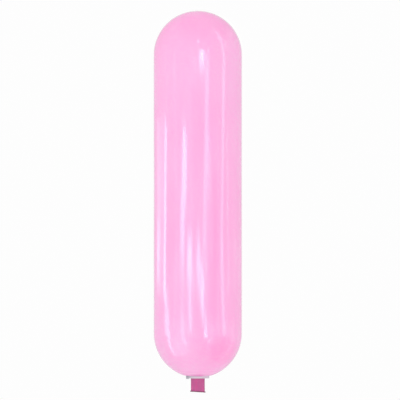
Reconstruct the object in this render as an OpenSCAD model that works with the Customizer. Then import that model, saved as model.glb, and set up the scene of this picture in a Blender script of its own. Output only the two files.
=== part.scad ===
// Long latex balloon, blown up and closed across its neck by a small hinged bar clip.
// Millimetres. The origin is the middle of the nip, where the clip squeezes the neck flat.
// +Z runs up the balloon, X along the clip, and -Y is the side that the clip opens to.

/* [Balloon] */
// Diameter of the inflated balloon
body_d = 250; // [200:5:320]
// Height from the flat patch above the clip to the crown
body_h = 1033; // [500:1:1400]
// Wall of the film, thicker than stretched latex so that it is a sound solid
film_t = 0.7; // [0.5:0.1:1]
// How much of the round bottom is pressed flat by the clip
flattening = 6.3; // [5.5:0.1:8]
// Radius of the turn from the round bottom into the flat patch
patch_turn_r = 20; // [14:1:26]

/* [Neck] */
// Width of the neck where it lies flat
neck_w = 39.2; // [34:0.2:44]
// Thickness of the two layers squeezed together in the clip
nip_t = 1.2; // [0.8:0.1:1.4]
// Thickness of the flat tube below the clip
tail_t = 2.4; // [2.2:0.1:2.8]
// Length of the tail from its bend line to the middle of the mouth
tail_l = 35.6; // [20:0.2:50]
// Diameter of the rolled bead round the mouth
bead_d = 3.2; // [2.8:0.1:3.4]
// Slant of the mouth across the neck, in degrees
mouth_slant = 3.5; // [0:0.5:6]

/* [Clip] */
// Length of the clip from the hinge to the latch
clip_l = 66; // [64:1:74]
// Depth of the closed clip, front to back
clip_depth = 8; // [7.6:0.1:9]
// Height of the clip's bar
clip_h = 8; // [7.5:0.1:9]
// Sideways place of the clip's middle on the neck
clip_x = -0.5; // [-2:0.5:2]
// How far the hinge's lower knuckle stands below the bar
knuckle_drop = 1.5; // [0.5:0.1:2.5]
// Diameter of the hinge pin
pin_d = 2.2; // [1.8:0.1:2.6]
// Radius of the ridge that the neck is bent over
ridge_r = 1.4; // [1:0.1:1.6]

/* [Hidden] */
$fn = 128;
big = 200;  // longer than anything that it cuts

// Gaps: between neck and swinging jaw, round the knuckles, at the latch, round the pin, above and below the clip
nip_gap = 0.2;
knuckle_gap = 0.25;
latch_gap = 0.2;
pin_gap = 0.05;
patch_gap = 0.6;
tail_gap = 0.2;

// Balloon
body_r = body_d / 2;
patch_z = clip_h / 2 + patch_gap;
crown_z = patch_z + body_h;
low_centre_z = patch_z + body_r - flattening;
top_centre_z = crown_z - body_r;
turn_centre_z = patch_z + patch_turn_r;
turn_reach = body_r - patch_turn_r;
turn_cos = (low_centre_z - turn_centre_z) / turn_reach;
patch_r = turn_reach * sqrt(1 - turn_cos * turn_cos);
throat_w = neck_w - 2;
throat_t = nip_t / 2;

// Neck, tail and mouth
neck_bottom_z = -clip_h / 2 - 0.4;
bend_z = neck_bottom_z - tail_gap - tail_t / 2;
mouth_z = bend_z - tail_l;
tail_wall = film_t;
bead_r = bead_d / 2;
bead_loop_r = bead_r + 0.1;  // half the distance between the bead's two straight runs
bead_run = neck_w + 5.3 - 2 * (bead_loop_r + bead_r);

// Clip
outer_y = clip_depth / 2;
back_face_y = nip_t / 2;
front_face_y = -nip_t / 2 - nip_gap;
groove_r = ridge_r + nip_t + nip_gap;
knuckle_r = outer_y;
pin_x = clip_x - clip_l / 2 + knuckle_r;
mid_knuckle_h = clip_h * 0.375;
knuckle_split_z = mid_knuckle_h / 2 + 0.2;
knuckle_low_z = -clip_h / 2 - knuckle_drop;
latch_t = 2.6;
latch_r = clip_l - knuckle_r;  // outside of the latch, measured from the pin
latch_short = 1;  // how far the latch stops short of the back jaw's outer face
latch_half_h = clip_h * 0.45;
ridge_l = neck_w + 5;
groove_l = ridge_l + 2;
corner_r = 0.8;
edge_r = 0.4;
rib_l = neck_w + 6;
rib_h = 0.6;
rib_low_z = -clip_h * 0.38;
rivet_d = pin_d + 1.4;
rivet_h = 0.3;

// A bar along X whose cross-section is drawn as (y, z).
module along_x(length) {
    rotate([90, 0, 90]) linear_extrude(length, center = true) children();
}

// A block from one corner to the opposite one, drawn as a plan in XY or a section in YZ.
module rounded_rect(low, high, r) {
    translate([low[0] + r, low[1]]) square([high[0] - low[0] - 2 * r, high[1] - low[1]]);
    translate([low[0], low[1] + r]) square([high[0] - low[0], high[1] - low[1] - 2 * r]);
    for (x = [low[0] + r, high[0] - r], y = [low[1] + r, high[1] - r]) translate([x, y]) circle(r);
}

// Cross-section of a flat tube with round sides.
module flat_tube(w, t) {
    square([w - t, t], center = true);
    for (side = [-1, 1]) translate([side * (w - t) / 2, 0]) circle(d = t);
}

// A cylinder on the hinge's axis between two heights.
module on_hinge(r, low, high) {
    translate([pin_x, 0, low]) cylinder(r = r, h = high - low);
}

// The same with softened ends, for the knuckles and rivet heads.
module soft_on_hinge(r, low, high, edge_r) {
    translate([pin_x, 0, 0]) rotate_extrude() intersection() {
        rounded_rect([-r, low], [r, high], edge_r);
        translate([0, low]) square([r, high - low]);
    }
}

// A disc in plan, centred on the hinge's axis.
module hinge_disc(r) {
    translate([pin_x, 0]) circle(r);
}

// Plan of a jaw's bar between two depths, from the hinge to an end that is round about it.
module bar_plan(end_r, low_y, high_y) {
    intersection() {
        hinge_disc(end_r);
        rounded_rect([pin_x - corner_r, low_y], [pin_x + end_r, high_y], corner_r);
    }
}

// A jaw's bar: the plan above, between two heights, with softened long edges.
module bar(end_r, low_y, high_y, half_h) {
    intersection() {
        along_x(big) rounded_rect([low_y, -half_h], [high_y, half_h], corner_r);
        linear_extrude(2 * half_h, center = true) bar_plan(end_r, low_y, high_y);
    }
}

// Half of the balloon's section: straight side, two round ends, and a flat patch that a small arc turns into.
module balloon_section(inset) {
    r = body_r - inset;
    intersection() {
        union() {
            translate([0, top_centre_z]) circle(r);
            translate([0, low_centre_z]) square([r, top_centre_z - low_centre_z]);
            difference() {
                translate([0, low_centre_z]) circle(r);
                translate([-big, low_centre_z - r * turn_cos - 2 * big]) square(2 * big);
            }
            translate([patch_r, turn_centre_z]) circle(patch_turn_r - inset);
            translate([0, patch_z + inset]) square([patch_r, body_r]);
        }
        square([body_r, crown_z]);
    }
}

// Inflated part of the balloon: a thin film, open only at the throat where the neck begins.
module envelope() {
    color("pink") difference() {
        rotate_extrude() difference() {
            balloon_section(0);
            balloon_section(film_t);
        }
        translate([-throat_w / 2, -throat_t / 2, patch_z - 1]) cube([throat_w, throat_t, film_t + 2]);
    }
}

// Neck inside the clip: two layers squeezed flat and bent over the back jaw's ridge.
module neck() {
    color("mediumvioletred") along_x(neck_w) difference() {
        union() {
            translate([-nip_t / 2, neck_bottom_z]) square([nip_t, patch_z - neck_bottom_z]);
            intersection() {
                translate([back_face_y, 0]) circle(ridge_r + nip_t);
                translate([back_face_y - clip_depth, -clip_h / 2]) square([clip_depth, clip_h]);
            }
        }
        translate([back_face_y, 0]) circle(ridge_r);
    }
}

// The bead's rolled ring: two straight runs joined by half rings, tilted to the mouth's slant.
module bead_ring() {
    translate([0, 0, mouth_z]) rotate([0, mouth_slant, 0]) for (side = [-1, 1]) {
        translate([0, side * bead_loop_r, 0]) rotate([0, 90, 0]) cylinder(r = bead_r, h = bead_run, center = true);
        translate([side * bead_run / 2, 0, 0]) rotate([0, 0, -90 * side])
            rotate_extrude(angle = 180) translate([bead_loop_r, 0]) circle(bead_r);
    }
}

// Flat length of neck below the clip: a hollow tube, closed and round at the bend line.
module neck_tail() {
    color("mediumvioletred") difference() {
        union() {
            translate([0, 0, mouth_z]) linear_extrude(tail_l) flat_tube(neck_w, tail_t);
            translate([0, 0, bend_z]) rotate([0, 90, 0]) cylinder(d = tail_t, h = neck_w - tail_t, center = true);
            for (side = [-1, 1]) translate([side * (neck_w - tail_t) / 2, 0, bend_z]) sphere(d = tail_t);
        }
        translate([0, 0, mouth_z - 1]) linear_extrude(tail_l)
            flat_tube(neck_w - 2 * tail_wall, tail_t - 2 * tail_wall);
        translate([0, 0, mouth_z]) rotate([0, mouth_slant, 0]) translate([0, 0, -big / 2]) cube(big, center = true);
        bead_ring();
    }
}

// Rolled rim of the mouth.
module mouth_bead() {
    color("palevioletred") bead_ring();
}

// Fixed jaw: a bar with the ridge, the two outer knuckles and a latch end that is round about the hinge.
module clip_back_jaw() {
    color("gainsboro") difference() {
        union() {
            bar(latch_r - latch_t - latch_gap, back_face_y, outer_y, clip_h / 2);
            intersection() {
                along_x(ridge_l) translate([back_face_y, 0]) circle(ridge_r);
                translate([-big / 2, -big + outer_y - corner_r, -clip_h / 2]) cube([big, big, clip_h]);
            }
            soft_on_hinge(knuckle_r, knuckle_low_z, -knuckle_split_z, edge_r);
            soft_on_hinge(knuckle_r, knuckle_split_z, clip_h / 2, edge_r);
        }
        on_hinge(knuckle_r + knuckle_gap, -knuckle_split_z, knuckle_split_z);
        on_hinge(pin_d / 2, -big / 2, big / 2);
    }
}

// Raised stiffening strip on the swinging jaw's outer face.
module rib() {
    intersection() {
        along_x(rib_l) rounded_rect([-outer_y - rib_h, rib_low_z], [-outer_y + 1, 0], rib_h / 2);
        rotate([90, 0, 0]) linear_extrude(big, center = true)
            rounded_rect([-rib_l / 2, rib_low_z], [rib_l / 2, 0], -rib_low_z * 0.45);
    }
}

// Swinging jaw: a bar with the groove, the middle knuckle, the rib and the latch that wraps the other jaw's end.
module clip_front_jaw() {
    color("lightgray") difference() {
        union() {
            bar(latch_r, -outer_y, front_face_y, clip_h / 2);
            difference() {
                bar(latch_r, -outer_y, outer_y - latch_short, latch_half_h);
                on_hinge(latch_r - latch_t, -clip_h, clip_h);
            }
            rib();
            soft_on_hinge(knuckle_r, -mid_knuckle_h / 2, mid_knuckle_h / 2, edge_r);
        }
        on_hinge(knuckle_r + knuckle_gap, mid_knuckle_h / 2, clip_h);
        on_hinge(knuckle_r + knuckle_gap, -clip_h, -mid_knuckle_h / 2);
        on_hinge(pin_d / 2 + pin_gap, -big / 2, big / 2);
        along_x(groove_l) translate([back_face_y, 0]) circle(groove_r);
    }
}

// Pin pressed through the outer knuckles, with a low rivet head at each end.
module hinge_pin() {
    color("darkgray") {
        on_hinge(pin_d / 2, knuckle_low_z, clip_h / 2);
        soft_on_hinge(rivet_d / 2, knuckle_low_z - rivet_h, knuckle_low_z, rivet_h * 0.4);
        soft_on_hinge(rivet_d / 2, clip_h / 2, clip_h / 2 + rivet_h, rivet_h * 0.4);
    }
}

envelope();
neck();
neck_tail();
mouth_bead();
clip_back_jaw();
clip_front_jaw();
hinge_pin();
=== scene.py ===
"""Long latex balloon, blown up and closed by a hinged bar clip, in a plain white studio.

The frame gives every size. Lengths are in metres, +Z runs up the balloon and the camera looks along +Y.
"""

import math

import bpy
from mathutils import Matrix, Vector, noise


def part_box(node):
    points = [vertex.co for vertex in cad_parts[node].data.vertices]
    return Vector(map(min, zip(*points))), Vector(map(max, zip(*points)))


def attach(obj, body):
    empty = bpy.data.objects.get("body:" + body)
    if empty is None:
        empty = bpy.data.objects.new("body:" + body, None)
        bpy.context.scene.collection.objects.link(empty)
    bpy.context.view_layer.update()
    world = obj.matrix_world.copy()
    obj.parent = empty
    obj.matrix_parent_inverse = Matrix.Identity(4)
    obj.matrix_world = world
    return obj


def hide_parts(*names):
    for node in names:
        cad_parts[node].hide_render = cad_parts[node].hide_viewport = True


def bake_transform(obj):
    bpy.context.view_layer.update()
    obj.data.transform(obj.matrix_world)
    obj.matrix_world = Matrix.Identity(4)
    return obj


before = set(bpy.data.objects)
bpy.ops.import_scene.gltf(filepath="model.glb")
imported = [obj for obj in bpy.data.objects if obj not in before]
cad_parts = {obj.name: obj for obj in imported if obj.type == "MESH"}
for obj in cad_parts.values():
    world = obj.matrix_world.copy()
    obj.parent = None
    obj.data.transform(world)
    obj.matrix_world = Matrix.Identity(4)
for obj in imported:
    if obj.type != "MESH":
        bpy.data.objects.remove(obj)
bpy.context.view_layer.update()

MM = 0.001

# Sizes that the frame gives
film_low, film_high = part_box("envelope")
neck_low, neck_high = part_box("neck")
bead_low, bead_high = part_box("mouth_bead")
jaw_low, jaw_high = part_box("clip_back_jaw")

BODY_R = film_high.x
CROWN_Z = film_high.z
PATCH_Z = film_low.z
NECK_HALF = neck_high.x
RIDGE_Y = neck_high.y                      # the back jaw's face, which the ridge stands on
CLIP_TOP_Z = jaw_high.z
NIP_END_Z = neck_low.z

# Sizes that the CAD source holds and the boxes don't show
FLATTENING = 6.3 * MM
TURN_R = 20 * MM
RIDGE_R = 1.4 * MM
BEAD_R = 1.6 * MM
BEAD_LOOP_R = 1.7 * MM
MOUTH_SLANT = math.radians(3.5)
NECK_TO_RIDGE = 0.6 * MM                   # from the middle of the squeezed neck to the ridge's face
BEAD_RUN_HALF = bead_high.x / math.cos(MOUTH_SLANT) - BEAD_R - BEAD_LOOP_R
MOUTH_Z = (bead_low.z + bead_high.z) / 2

# The balloon's outline, as in the CAD source
TOP_CENTRE_Z = CROWN_Z - BODY_R
LOW_CENTRE_Z = PATCH_Z + BODY_R - FLATTENING
TURN_CENTRE_Z = PATCH_Z + TURN_R
PATCH_R = math.sqrt((BODY_R - TURN_R) ** 2 - (LOW_CENTRE_Z - TURN_CENTRE_Z) ** 2)
TURN_ANGLE = math.atan2(LOW_CENTRE_Z - TURN_CENTRE_Z, PATCH_R)

# The skin
AROUND = 192
NIP_HALF_T = 0.45 * MM
LIP_R = 0.95 * MM
LIP_Z = CLIP_TOP_Z + 0.15 * MM
TAIL_HALF_T = 1.05 * MM
NIP_BLUNT = 0.45                           # how square the flat sections are, as flat_ring explains
TAIL_BLUNT = 0.8

# How many rings of points each stretch of the skin has
CROWN_RINGS = 46
BARREL_RINGS = 60
LOW_END_RINGS = 38
TURN_RINGS = 10
THROAT_RINGS = 22
LIP_RINGS = 6
NIP_RINGS = 36
TAIL_RINGS = 64

# Painted shade on the film at the front right: a darker patch and a streak rising from it, which stand in for
# a dim reflection there
SHADE_PATCH = Vector((0.068, 0, 0.080))
SHADE_PATCH_R = 0.058
SHADE_PATCH_EDGE = 0.04
SHADE_STREAK_TURN = 21                       # degrees to the right of the front
SHADE_STREAK_WIDTH = 9                       # degrees


# ---------------------------------------------------------------- small helpers

def smooth(t):
    """0 to 1 with soft ends."""
    t = min(1.0, max(0.0, t))
    return t * t * (3 - 2 * t)


def mix(a, b, t):
    return a + (b - a) * t


def steps(count):
    """count even values from 0, without 1."""
    return [i / count for i in range(count)]


def mesh_object(name, points, faces):
    mesh = bpy.data.meshes.new(name)
    mesh.from_pydata(points, [], faces)
    mesh.update()
    mesh.shade_smooth()
    made = bpy.data.objects.new(name, mesh)
    bpy.context.scene.collection.objects.link(made)
    return made


def ring_faces(rings, around, first=0):
    """Quads between rings of points that run downwards, facing outwards."""
    faces = []
    for i in range(rings - 1):
        top, low = first + i * around, first + (i + 1) * around
        for j in range(around):
            k = (j + 1) % around
            faces.append((low + j, low + k, top + k, top + j))
    return faces


def float_attribute(piece, name, values):
    attribute = piece.data.attributes.new(name, "FLOAT", "POINT")
    attribute.data.foreach_set("value", values)


# ---------------------------------------------------------------- latex skin

def ripple(point, size, lengths):
    """Slow random wave of about +-size, with its own wavelength along each axis."""
    at = Vector(tuple(c / l for c, l in zip(point, lengths)))
    return size * noise.noise(at + Vector((3.7, 9.1, 5.3)))


def outline():
    """The inflated part as (radius, z) from just below the crown to the patch."""
    rows = []
    for t in steps(CROWN_RINGS)[1:]:
        angle = math.radians(90) * (1 - t)
        rows.append((BODY_R * math.cos(angle), TOP_CENTRE_Z + BODY_R * math.sin(angle)))
    for t in steps(BARREL_RINGS):
        rows.append((BODY_R, mix(TOP_CENTRE_Z, LOW_CENTRE_Z, t)))
    for t in steps(LOW_END_RINGS):
        angle = -TURN_ANGLE * t
        rows.append((BODY_R * math.cos(angle), LOW_CENTRE_Z + BODY_R * math.sin(angle)))
    for t in steps(TURN_RINGS):
        angle = -mix(TURN_ANGLE, math.radians(90), t)
        rows.append((PATCH_R + TURN_R * math.cos(angle), TURN_CENTRE_Z + TURN_R * math.sin(angle)))
    return rows


def ridge_path(z):
    """How far the neck is pushed forward by the back jaw's ridge at a height."""
    reach = RIDGE_R + NECK_TO_RIDGE
    if abs(z) >= reach:
        return 0.0
    softness = 0.2 * MM
    pushed = RIDGE_Y - math.sqrt(reach * reach - z * z)
    ends = smooth((reach - abs(z)) / (0.3 * MM))
    return -math.log(1 + math.exp(-pushed / softness)) * softness * ends


def flat_ring(half_w, half_t, blunt, z, middle_y=0.0):
    """A flat tube's section. blunt is 1 for an ellipse and less for a flatter, squarer one."""
    ring = []
    for j in range(AROUND):
        angle = math.tau * j / AROUND
        side = math.copysign(abs(math.sin(angle)) ** blunt, math.sin(angle)) if j % (AROUND // 2) else 0.0
        ring.append(Vector((half_w * math.cos(angle), middle_y + half_t * side, z)))
    return ring


def shade_patch_and_streak(point):
    """Painted shade, added to the film's dye: a darker patch at the lower right and a streak that rises from
    it, which stand in for a dim reflection there.
    """
    if point.y > 0:
        return 0.0
    away = (point - Vector((SHADE_PATCH.x, point.y, SHADE_PATCH.z))).length
    uneven = ripple((point.x, 0, point.z), 0.012, (0.02, 1, 0.02))
    patch = smooth((SHADE_PATCH_R - away + uneven) / SHADE_PATCH_EDGE)
    turn = math.degrees(math.atan2(point.x, -point.y)) - SHADE_STREAK_TURN
    across = math.exp(-((turn / SHADE_STREAK_WIDTH) ** 2))
    along = smooth((point.z - 0.1) / 0.08) * smooth((0.95 - point.z) / 0.6)
    return 0.19 * patch + 0.13 * across * along


def pleat(point):
    """1 on the pleats that the film gathers into round the throat, 0 between them."""
    angle = math.atan2(point.y, point.x)
    return max(0.0, math.sin(13 * angle + 2 * math.sin(3 * angle))) ** 2


def pucker(point):
    """Height, from 0 to 1, of the two small knots of film that stand up in front of the throat."""
    at_front = smooth((-point.y - 0.5 * MM) / (1.5 * MM))
    return at_front * sum(math.exp(-(((point.x - x) / (1.6 * MM)) ** 2)) for x in (-4.5 * MM, 5.5 * MM))


def body_rings():
    """Rings of the inflated film, each with how dense its colour is."""
    rings = []
    for r, z in outline():
        high = smooth((z - TOP_CENTRE_Z) / BODY_R)
        low = smooth((LOW_CENTRE_Z - z) / BODY_R)
        ring = []
        for j in range(AROUND):
            angle = math.tau * j / AROUND
            out = Vector((math.cos(angle), math.sin(angle), 0))
            swell = ripple((out.x, out.y, z), 0.35 * MM, (0.9, 0.9, 0.22)) * min(1, r / BODY_R * 2)
            ring.append(out * (r + swell) + Vector((0, 0, z)))
        rings.append((ring, 0.09 + 0.12 * high - 0.04 * low))
    return rings


def throat_rings():
    """Rings from the flat patch in to the throat and over its lip into the clip."""
    rings = []
    for t in steps(THROAT_RINGS):
        half_w = mix(PATCH_R, NECK_HALF + LIP_R, t)
        half_t = mix(PATCH_R, NIP_HALF_T + LIP_R, t)
        ring = flat_ring(half_w, half_t, mix(1.0, NIP_BLUNT, t ** 2), mix(PATCH_Z, LIP_Z, smooth(t)))
        for point in ring:
            point.z += 0.4 * MM * pleat(point) * math.sin(math.pi * t) ** 2
            point.z += 1.5 * MM * pucker(point) * smooth((t - 0.6) / 0.3)
        rings.append((ring, mix(0.05, 0.16, t)))
    for t in steps(LIP_RINGS):
        angle = math.radians(90) * t
        out = LIP_R * (1 - math.sin(angle))
        z = LIP_Z - LIP_R * (1 - math.cos(angle))
        ring = flat_ring(NECK_HALF + out, NIP_HALF_T + out, NIP_BLUNT, z)
        rings.append((ring, mix(0.16, 0.5, t)))
    return rings


def neck_rings():
    """Rings of the unstretched neck: through the nip, round the bend and down to the bead."""
    rings = []
    for t in steps(NIP_RINGS):
        z = mix(LIP_Z - LIP_R, NIP_END_Z, t)
        rings.append((flat_ring(NECK_HALF, NIP_HALF_T, NIP_BLUNT, z, ridge_path(z)), 1.0))
    for t in steps(TAIL_RINGS) + [1.0]:
        z = mix(NIP_END_Z, MOUTH_Z, t)
        open_up = smooth(t / 0.3)
        to_bead = smooth((t - 0.8) / 0.2)
        half_t = mix(mix(NIP_HALF_T, TAIL_HALF_T, open_up), BEAD_LOOP_R * 0.9, to_bead)
        ring = flat_ring(NECK_HALF, half_t, mix(NIP_BLUNT, TAIL_BLUNT, open_up), z)
        for point in ring:
            loose = math.sin(math.pi * smooth(t))
            point.y += ripple((point.x, 0, z), 0.5 * MM, (0.016, 1, 0.03)) * loose
            point.y += ripple((point.x, point.y * 40, z), 0.1 * MM, (0.0022, 1, 0.03)) * loose
            point.z -= math.tan(MOUTH_SLANT) * point.x * smooth(t)
        rings.append((ring, 1.0))
    return rings


def latex_skin():
    """The balloon's one skin, from its crown to the bead, in place of three CAD nodes."""
    body, throat, neck = body_rings(), throat_rings(), neck_rings()
    rings = body + throat + neck
    points = [Vector((0, 0, CROWN_Z))] + [p for ring, _ in rings for p in ring]
    cap = [(1 + j, 1 + (j + 1) % AROUND, 0) for j in range(AROUND)]
    film_faces = AROUND + (len(body) + len(throat) - 1) * AROUND
    skin = mesh_object("latex_skin", points, cap + ring_faces(len(rings), AROUND, first=1))
    # One attribute holds the film's density and, added to it, the painted shade of the patch and streak at
    # the front right.
    float_attribute(skin, "dye_and_shade", [0.21] + [d + shade_patch_and_streak(p) for ring, d in rings for p in ring])
    # Painted shade: 1 along the flat neck's two side folds, where the neck's material darkens and dulls the
    # colour.
    fold_shade = [abs(math.cos(math.tau * j / AROUND)) ** 12 for j in range(AROUND)]
    float_attribute(skin, "fold_shade", [0.0] + fold_shade * len(rings))
    skin.data.materials.append(film_material())
    skin.data.materials.append(neck_material("latex_neck", (0.46, 0.056, 0.228)))
    for face in skin.data.polygons:
        face.material_index = 0 if face.index < film_faces else 1
    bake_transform(skin)
    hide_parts("envelope", "neck", "neck_tail")


# ---------------------------------------------------------------- rolled bead

def bead_path(t):
    """Middle of the bead's roll at a share of the way round, before the slant, with its outward direction."""
    straight, bend = 2 * BEAD_RUN_HALF, math.pi * BEAD_LOOP_R
    at = (t % 1) * 2 * (straight + bend)
    for side in (1, -1):
        if at < straight:
            return Vector((side * (BEAD_RUN_HALF - at), side * BEAD_LOOP_R, 0)), Vector((0, side, 0))
        at -= straight
        if at < bend:
            angle = math.radians(90) * side + math.pi * at / bend
            out = Vector((math.cos(angle), math.sin(angle), 0))
            return Vector((-side * BEAD_RUN_HALF, 0, 0)) + out * BEAD_LOOP_R, out
        at -= bend


def mouth_bead():
    """The rolled rim, a little uneven, as latex rolled by hand is."""
    around, section = 240, 20
    slant = Vector((math.cos(MOUTH_SLANT), 0, -math.sin(MOUTH_SLANT)))
    down = Vector((-math.sin(MOUTH_SLANT), 0, -math.cos(MOUTH_SLANT)))
    points = []
    for i in range(around):
        centre, out = bead_path(i / around)
        uneven = 1 + ripple((centre.x, centre.y, 0), 0.16, (0.006, 0.004, 1))
        for j in range(section):
            angle = math.tau * j / section
            roll = BEAD_R * 0.96 * uneven * (1 + 0.05 * math.sin(3 * angle))
            flat = centre + out * math.cos(angle) * roll
            points.append(slant * flat.x + Vector((0, flat.y, MOUTH_Z)) + down * math.sin(angle) * roll)
    faces = []
    for i in range(around):
        k = (i + 1) % around
        for j in range(section):
            n = (j + 1) % section
            faces.append((i * section + j, k * section + j, k * section + n, i * section + n))
    bead = mesh_object("rolled_mouth_bead", points, faces)
    float_attribute(bead, "fold_shade", [0.0] * len(points))
    bead.data.materials.append(neck_material("latex_bead", (0.2, 0.05, 0.11)))
    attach(bead, "tail")
    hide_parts("mouth_bead")


# ---------------------------------------------------------------- materials

class Nodes:
    """A new material's node tree, with short calls for the nodes used here."""

    def __init__(self, name):
        self.material = bpy.data.materials.new(name)
        self.material.use_nodes = True
        self.tree = self.material.node_tree
        self.shader = self.tree.nodes["Principled BSDF"]

    def set(self, **sockets):
        for name, value in sockets.items():
            self.shader.inputs[name.replace("_", " ")].default_value = value

    def link(self, source, target):
        self.tree.links.new(source, self.shader.inputs[target] if isinstance(target, str) else target)

    def attribute(self, name):
        node = self.tree.nodes.new("ShaderNodeAttribute")
        node.attribute_name = name
        return node.outputs["Fac"]

    def noise(self, scale, detail=3.0, stretch=(1, 1, 1)):
        place = self.tree.nodes.new("ShaderNodeTexCoord")
        scaled = self.tree.nodes.new("ShaderNodeMapping")
        scaled.inputs["Scale"].default_value = stretch
        node = self.tree.nodes.new("ShaderNodeTexNoise")
        node.inputs["Scale"].default_value = scale
        node.inputs["Detail"].default_value = detail
        self.tree.links.new(place.outputs["Object"], scaled.inputs["Vector"])
        self.tree.links.new(scaled.outputs["Vector"], node.inputs["Vector"])
        return node.outputs["Fac"]

    def place(self, axis):
        place = self.tree.nodes.new("ShaderNodeTexCoord")
        parts = self.tree.nodes.new("ShaderNodeSeparateXYZ")
        self.tree.links.new(place.outputs["Object"], parts.inputs[0])
        return parts.outputs[axis]

    def math(self, operation, a, b=0.0, c=0.0, clamp=False):
        node = self.tree.nodes.new("ShaderNodeMath")
        node.operation = operation
        node.use_clamp = clamp
        for socket, value in zip(node.inputs, (a, b, c)):
            if isinstance(value, (int, float)):
                socket.default_value = value
            else:
                self.tree.links.new(value, socket)
        return node.outputs[0]

    def scaled(self, colour, factor):
        node = self.tree.nodes.new("ShaderNodeVectorMath")
        node.operation = "SCALE"
        self.tree.links.new(colour, node.inputs[0])
        self.tree.links.new(factor, node.inputs["Scale"])
        return node.outputs[0]

    def ramp(self, value, stops):
        node = self.tree.nodes.new("ShaderNodeValToRGB")
        band = node.color_ramp
        while len(band.elements) < len(stops):
            band.elements.new(0.5)
        for element, (place, colour) in zip(band.elements, stops):
            element.position = place
            element.color = (*colour, 1) if isinstance(colour, tuple) else (colour,) * 3 + (1,)
        self.tree.links.new(value, node.inputs["Fac"])
        return node.outputs["Color"]

    def bump(self, height, strength, distance):
        node = self.tree.nodes.new("ShaderNodeBump")
        node.inputs["Strength"].default_value = strength
        node.inputs["Distance"].default_value = distance
        self.tree.links.new(height, node.inputs["Height"])
        self.link(node.outputs["Normal"], "Normal")

    def facing(self, blend):
        node = self.tree.nodes.new("ShaderNodeLayerWeight")
        node.inputs["Blend"].default_value = blend
        return node.outputs["Facing"]


def film_material():
    """Stretched latex: glossy, milky and see-through, denser at the crown, the neck and the limb."""
    n = Nodes("latex_film")
    streaks = n.noise(7, 3, (1, 1, 0.16))
    clouds = n.noise(5, 2)
    mottle = n.math("MULTIPLY_ADD", streaks, 0.45, n.math("MULTIPLY_ADD", clouds, 0.25, -0.35))
    # The film's density, with the painted shade at the front right added in, darkens and deepens the colour.
    dye_and_shade = n.math("ADD", n.attribute("dye_and_shade"), mottle, clamp=True)
    colour = n.ramp(
        dye_and_shade,
        [
            (0.0, (0.96, 0.37, 0.76)),
            (0.1, (0.96, 0.33, 0.71)),
            (0.3, (0.97, 0.25, 0.63)),
            (0.5, (0.97, 0.18, 0.54)),
            (1.0, (0.46, 0.07, 0.23)),
        ],
    )
    edge = n.math("POWER", n.facing(0.5), 6.0)
    darker = n.math("MULTIPLY_ADD", dye_and_shade, -1.6, -0.32)
    n.link(n.scaled(colour, n.math("MULTIPLY_ADD", edge, darker, 1.0, clamp=True)), "Base Color")
    solid = n.ramp(dye_and_shade, [(0.0, 0.51), (0.1, 0.55), (0.5, 0.72), (1.0, 1.0)])
    limb = n.math("POWER", n.facing(0.5), 4.0)
    n.link(n.math("MULTIPLY_ADD", limb, 0.4, solid, clamp=True), "Alpha")
    slack_height = 22 * MM
    slack = n.math("MULTIPLY_ADD", n.place("Z"), -1 / slack_height, 1.2, clamp=True)
    gloss = n.math("MULTIPLY_ADD", n.noise(30, 3), 0.06, 0.08)
    n.link(n.math("MULTIPLY_ADD", slack, 0.35, gloss), "Roughness")
    n.set(IOR=1.52, Coat_Weight=0.4, Coat_Roughness=0.12)
    n.bump(n.noise(160, 2), 0.05, 0.0004)
    return n.material


def neck_material(name, colour):
    """Unstretched latex: deep pink, satin, with fine creases and redder patches, and painted shade that
    darkens and dulls the side folds.
    """
    n = Nodes(name)
    creases = n.noise(420, 4, (1, 1, 0.12))
    clouds = n.noise(110, 2, (1, 1, 0.5))
    shade = n.math("MULTIPLY_ADD", clouds, 0.75, n.math("MULTIPLY", creases, 0.25))
    # Painted shade along the side folds.
    shade = n.math("MULTIPLY_ADD", n.attribute("fold_shade"), -0.4, shade)
    red, green, blue = colour
    tones = [
        (0.1, (0.62 * red, 1.1 * green, 0.72 * blue)),
        (0.38, (0.93 * red, 1.06 * green, 0.98 * blue)),
        (0.52, colour),
        (0.66, (1.18 * red, 0.84 * green, 1.02 * blue)),
    ]
    n.link(n.ramp(shade, tones), "Base Color")
    n.link(n.math("MULTIPLY_ADD", creases, 0.3, 0.3), "Roughness")
    n.set(IOR=1.45, Coat_Weight=0.1, Coat_Roughness=0.3)
    n.bump(n.math("MULTIPLY_ADD", creases, 0.7, clouds), 0.4, 0.0003)
    return n.material


def clip_material():
    """Natural polypropylene: milky grey, a little see-through, darker at the hinge, with faint flow marks."""
    n = Nodes("clip_plastic")
    flow = n.noise(60, 3, (0.25, 1, 1))
    grain = n.noise(900, 2)
    end_l = 12 * MM
    thick_end = n.math("MULTIPLY_ADD", n.place("X"), -1 / end_l, jaw_low.x / end_l + 1.5, clamp=True)
    tone = n.math("MULTIPLY_ADD", thick_end, -0.3, n.math("ADD", flow, 0.05))
    tones = [
        (0.15, (0.38, 0.43, 0.47)),
        (0.35, (0.56, 0.58, 0.61)),
        (0.6, (0.74, 0.72, 0.77)),
        (0.8, (0.82, 0.78, 0.85)),
    ]
    n.link(n.ramp(tone, tones), "Base Color")
    n.link(n.math("MULTIPLY_ADD", flow, 0.2, 0.72), "Alpha")
    n.link(n.math("MULTIPLY_ADD", grain, 0.2, 0.22), "Roughness")
    n.set(IOR=1.49, Coat_Weight=0.3, Coat_Roughness=0.15)
    n.bump(grain, 0.25, 0.00006)
    return n.material


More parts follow.
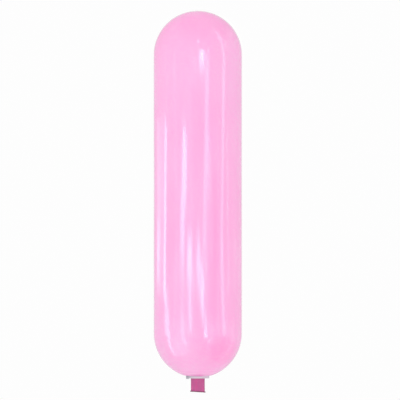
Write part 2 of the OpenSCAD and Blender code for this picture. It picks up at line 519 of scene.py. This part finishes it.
def pin_material():
    """Darker moulded plastic of the hinge pin."""
    n = Nodes("clip_pin")
    grain = n.noise(700, 3)
    n.link(n.ramp(grain, [(0.35, (0.27, 0.29, 0.31)), (0.65, (0.38, 0.40, 0.42))]), "Base Color")
    n.link(n.math("MULTIPLY_ADD", grain, 0.2, 0.3), "Roughness")
    n.bump(grain, 0.3, 0.00005)
    return n.material


def floor_material():
    """Plain matt white studio floor, which isn't there for a camera below it."""
    n = Nodes("studio_floor")
    n.link(n.ramp(n.noise(3, 2), [(0.3, (0.93, 0.93, 0.93)), (0.7, (0.96, 0.96, 0.96))]), "Base Color")
    n.set(Roughness=0.9)
    side = n.tree.nodes.new("ShaderNodeNewGeometry")
    n.link(n.math("SUBTRACT", 1.0, side.outputs["Backfacing"]), "Alpha")
    return n.material


def dress_clip():
    """The clip's CAD nodes stay, with moulded plastic on them."""
    plastic, pin = clip_material(), pin_material()
    for node, material in (("clip_back_jaw", plastic), ("clip_front_jaw", plastic), ("hinge_pin", pin)):
        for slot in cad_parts[node].material_slots:
            slot.material = material


# ---------------------------------------------------------------- studio and camera

CAMERA_DISTANCE = 8.0
CAMERA_X = 0.0062
CAMERA_Z = 0.5017
VIEW_WIDTH = 1.1338                        # what the picture shows at the balloon's distance

FLOOR_Z = -3.4
FLOOR_R = 14
FLOOR_CORNERS = 64
WORLD_LEVEL = 0.985
LIGHT_REACH = 1.1
STRIP_SIDE_FADE = 0.35

# Each strip light stands on a ring round the balloon. It is told by the azimuth and height of its top, then
# of its foot (degrees to the right of the camera, and metres), its width, its brightness, and the shares of
# its length over which it fades at its top and at its foot. A strip fades to a brightness of 1, not to
# nothing, and Cycles adds it to the white world behind it. So even the two dim ones at the end brighten what
# the film mirrors.
STRIPS = {
    "left_window": (-87, 0.76, -93, 0.18, 0.2, 6.5, 0.05, 0.05),
    "left_window_sill": (-93, 0.2, -76, 0.06, 0.2, 5, 0.3, 0.1),
    "left_window_foot": (-77, 0.08, -84, -1.1, 0.2, 4.5, 0.05, 0.7),
    "left_door": (-32, 0.74, -34, 0.46, 0.3, 9.5, 0.15, 0.35),
    "left_door_low": (-36, 0.54, -41, 0.22, 0.28, 7.5, 0.3, 0.55),
    "left_door_foot": (-40, 0.2, -31, -0.4, 0.18, 3.5, 0.2, 0.2),
    "right_door": (25, 1, 15, 0.3, 0.22, 4, 0.1, 0.3),
    "right_window_head": (78, 3.1, 65, 0.96, 0.2, 3, 0.6, 0.05),
    "right_window": (69, 1, 60, 0.3, 0.18, 3.8, 0.05, 0.1),
    "right_window_foot": (61, 0.36, 69, 0.02, 0.2, 4, 0.1, 0.5),
    "low_left": (-20, 0.42, -20, 0.22, 0.32, 10.5, 0.4, 0.35),
    "low_left_tail": (-20, 0.24, -18, 0.08, 0.2, 5.5, 0.1, 0.3),
    "low_middle": (-2, 0.38, 6, 0.24, 0.22, 7.5, 0.4, 0.3),
    "low_right": (13, 0.3, 9, 0.14, 0.22, 10.5, 0.3, 0.2),
    "low_tail": (17, 0.14, 22, -0.06, 0.18, 10, 0.3, 0.5),
    "top_dot": (10, 1.2, 10, 0.9, 0.36, 11.5, 0.8, 0.15),
    "small_dot": (2, 1.74, 2, 1.46, 0.2, 5, 0.3, 0.3),
    "edge_low": (-120, 0.44, -120, 0.24, 0.34, 1.9, 0.45, 0.45),
    "left_wall": (-108, 0.76, -108, 0.2, 0.8, 1.4, 0.35, 0.35),
    "low_left_glow": (-55, 0.12, -55, -1.2, 1.4, 1.8, 0.3, 0.2),
    "right_glow": (38, 0.74, 38, 0.06, 0.66, 0.05, 0.3, 0.1),
    "low_right_glow": (65, 0.1, 65, -1.3, 1.9, 0.05, 0.1, 0.1),
}


def fade(tree, along, first, last):
    """0 at both ends of a strip light's length or width, and 1 between two shares of it."""
    band = tree.nodes.new("ShaderNodeValToRGB")
    band.color_ramp.interpolation = "EASE"
    stops = ((0.0, 0.0), (first, 1.0), (last, 1.0), (1.0, 0.0))
    while len(band.color_ramp.elements) < len(stops):
        band.color_ramp.elements.new(0.5)
    for element, (at, share) in zip(band.color_ramp.elements, stops):
        element.position = at
        element.color = (share, share, share, 1)
    tree.links.new(along, band.inputs["Fac"])
    return band.outputs["Color"]


def soften(data, brightness, top_fade, foot_fade):
    """Makes a strip fade from its brightness to 1 towards its ends and sides."""
    data.energy = math.pi * data.size * data.size_y
    data.use_nodes = True
    tree = data.node_tree
    place = tree.nodes.new("ShaderNodeNewGeometry")
    parts = tree.nodes.new("ShaderNodeSeparateXYZ")
    both = tree.nodes.new("ShaderNodeMath")
    level = tree.nodes.new("ShaderNodeMapRange")
    both.operation = "MULTIPLY"
    level.inputs["To Min"].default_value = 1.0
    level.inputs["To Max"].default_value = brightness
    tree.links.new(place.outputs["Parametric"], parts.inputs[0])
    across = fade(tree, parts.outputs["X"], STRIP_SIDE_FADE, 1 - STRIP_SIDE_FADE)
    along = fade(tree, parts.outputs["Y"], foot_fade, 1 - top_fade)
    tree.links.new(across, both.inputs[0])
    tree.links.new(along, both.inputs[1])
    tree.links.new(both.outputs[0], level.inputs["Value"])
    tree.links.new(level.outputs["Result"], tree.nodes["Emission"].inputs["Strength"])


def on_ring(azimuth, height):
    """A place on the ring that the strip lights stand on."""
    angle = math.radians(azimuth)
    return Vector((LIGHT_REACH * math.sin(angle), -LIGHT_REACH * math.cos(angle), height))


def strip_light(name, top, foot, width, brightness, top_fade, foot_fade):
    """A strip of light that faces the balloon. Only mirror images show it, as one streak on the film."""
    middle = (top + foot) / 2
    up = (top - foot).normalized()
    back = middle - Vector((0, 0, min(CROWN_Z, max(0, middle.z))))
    back = (back - up * back.dot(up)).normalized()
    data = bpy.data.lights.new(name, "AREA")
    data.shape = "RECTANGLE"
    data.size, data.size_y = width, (top - foot).length
    soften(data, brightness, top_fade, foot_fade)
    lamp = bpy.data.objects.new(name, data)
    lamp.matrix_world = Matrix.Translation(middle) @ Matrix((up.cross(back), up, back)).transposed().to_4x4()
    lamp.visible_camera = False
    lamp.visible_diffuse = False
    bpy.context.scene.collection.objects.link(lamp)


def soft_light(name, place, energy):
    """Soft light, for shape. The film doesn't mirror it."""
    data = bpy.data.lights.new(name, "AREA")
    data.size = 2.0
    data.energy = energy
    lamp = bpy.data.objects.new(name, data)
    lamp.location = place
    lamp.rotation_euler = (Vector((0, 0, 0.4)) - lamp.location).to_track_quat("-Z", "Y").to_euler()
    lamp.visible_camera = False
    lamp.visible_glossy = False
    bpy.context.scene.collection.objects.link(lamp)


def studio():
    """A white world and floor, the strips that the film mirrors, and two soft lights for shape."""
    world = bpy.data.worlds.new("white_studio")
    world.use_nodes = True
    world.node_tree.nodes["Background"].inputs["Color"].default_value = (WORLD_LEVEL,) * 3 + (1,)
    world.node_tree.nodes["Background"].inputs["Strength"].default_value = 1.0
    bpy.context.scene.world = world
    for name, (top_turn, top_z, foot_turn, foot_z, *rest) in STRIPS.items():
        strip_light(name, on_ring(top_turn, top_z), on_ring(foot_turn, foot_z), *rest)
    soft_light("key_light", (-1.7, -3.0, 2.4), 25)
    soft_light("low_fill", (0.8, -2.6, -1.8), 12)
    turns = [math.tau * t for t in steps(FLOOR_CORNERS)]
    rim = [Vector((FLOOR_R * math.cos(turn), FLOOR_R * math.sin(turn), FLOOR_Z)) for turn in turns]
    floor = mesh_object("studio_floor", rim, [tuple(range(FLOOR_CORNERS))])
    floor.data.materials.append(floor_material())
    bpy.context.scene.view_settings.view_transform = "Standard"


def camera():
    """Level and far off, as for a catalogue picture, with the balloon filling the height."""
    data = bpy.data.cameras.new("camera")
    data.lens = data.sensor_width * CAMERA_DISTANCE / VIEW_WIDTH
    data.clip_end = 60
    made = bpy.data.objects.new("camera", data)
    made.location = (CAMERA_X, -CAMERA_DISTANCE, CAMERA_Z)
    made.rotation_euler = (math.radians(90), 0, 0)
    bpy.context.scene.collection.objects.link(made)
    bpy.context.scene.camera = made


camera()
studio()
latex_skin()
mouth_bead()
dress_clip()
